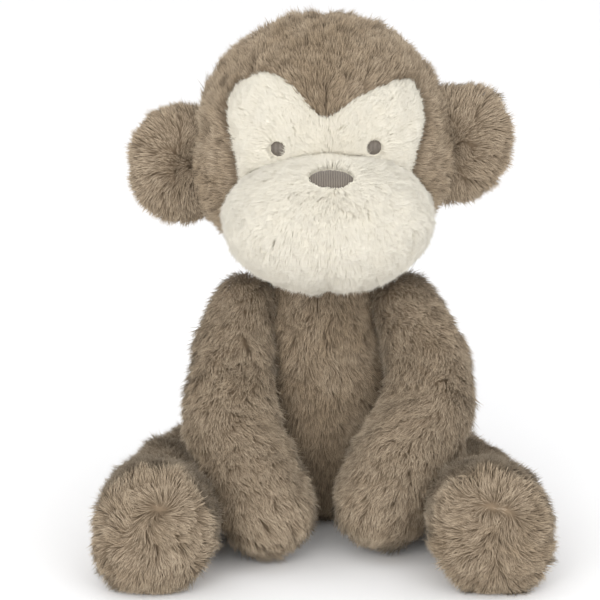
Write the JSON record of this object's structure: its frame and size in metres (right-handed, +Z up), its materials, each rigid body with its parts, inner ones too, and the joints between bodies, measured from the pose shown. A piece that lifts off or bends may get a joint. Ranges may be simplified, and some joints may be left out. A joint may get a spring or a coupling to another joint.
{
  "type": "stuffed monkey",
  "caption": "Seated stuffed monkey in brown and cream pile fabric, with a wide cream muzzle, embroidered eyes and nose, round ears, and a head, arms and legs that move.",
  "frame": {"origin": "middle of the object's box, on the surface that it sits on", "axes": "+Z up, the monkey faces -Y and its left hand is at +X"},
  "size_m": [0.2162, 0.1942, 0.264],
  "materials": {
    "brown_pile": "matte",
    "cream_pile": "matte",
    "grey_thread": "satin",
    "fibre_filling": "matte",
    "pouch_cloth": "matte"
  },
  "bodies": {
    "torso": {"chest_panel_left": "brown_pile", "chest_panel_right": "brown_pile", "back_panel_left": "brown_pile", "back_panel_right": "brown_pile", "seat_panel": "brown_pile", "torso_filling": "fibre_filling", "seat_pellet_pouch": "pouch_cloth"},
    "head": {"crown_panel_left": "brown_pile", "crown_panel_right": "brown_pile", "head_back_panel_left": "brown_pile", "head_back_panel_right": "brown_pile", "ear_front_panel_left": "brown_pile", "ear_back_panel_left": "brown_pile", "ear_front_panel_right": "brown_pile", "ear_back_panel_right": "brown_pile", "face_mask_panel": "cream_pile", "muzzle_panel": "cream_pile", "nose_embroidery": "grey_thread", "eye_embroidery_left": "grey_thread", "eye_embroidery_right": "grey_thread", "head_filling": "fibre_filling", "ear_wadding_left": "fibre_filling", "ear_wadding_right": "fibre_filling"},
    "left_arm": {"arm_front_panel_left": "brown_pile", "arm_back_panel_left": "brown_pile", "arm_filling_left": "fibre_filling"},
    "right_arm": {"arm_front_panel_right": "brown_pile", "arm_back_panel_right": "brown_pile", "arm_filling_right": "fibre_filling"},
    "left_leg": {"leg_upper_panel_left": "brown_pile", "leg_under_panel_left": "brown_pile", "foot_sole_left": "brown_pile", "leg_filling_left": "fibre_filling"},
    "right_leg": {"leg_upper_panel_right": "brown_pile", "leg_under_panel_right": "brown_pile", "foot_sole_right": "brown_pile", "leg_filling_right": "fibre_filling"}
  },
  "joints": [
    {"name": "neck_turn", "type": "hinge", "parent": "torso", "child": "head", "pos_m": [0.00025, 0.03882, 0.145], "axis": [0, 0, 1], "range_deg": [-40, 40]},
    {"name": "left_shoulder_swing", "type": "hinge", "parent": "torso", "child": "left_arm", "pos_m": [0.04205, 0.02482, 0.118], "axis": [-1, 0, 0], "range_deg": [0, 45]},
    {"name": "right_shoulder_swing", "type": "hinge", "parent": "torso", "child": "right_arm", "pos_m": [-0.03975, 0.02482, 0.118], "axis": [-1, 0, 0], "range_deg": [0, 45]},
    {"name": "left_hip_swing", "type": "hinge", "parent": "torso", "child": "left_leg", "pos_m": [0.06475, 0.04482, 0.0235], "axis": [1, 0, 0], "range_deg": [0, 85]},
    {"name": "right_hip_swing", "type": "hinge", "parent": "torso", "child": "right_leg", "pos_m": [-0.06425, 0.04482, 0.0235], "axis": [1, 0, 0], "range_deg": [0, 85]}
  ]
}
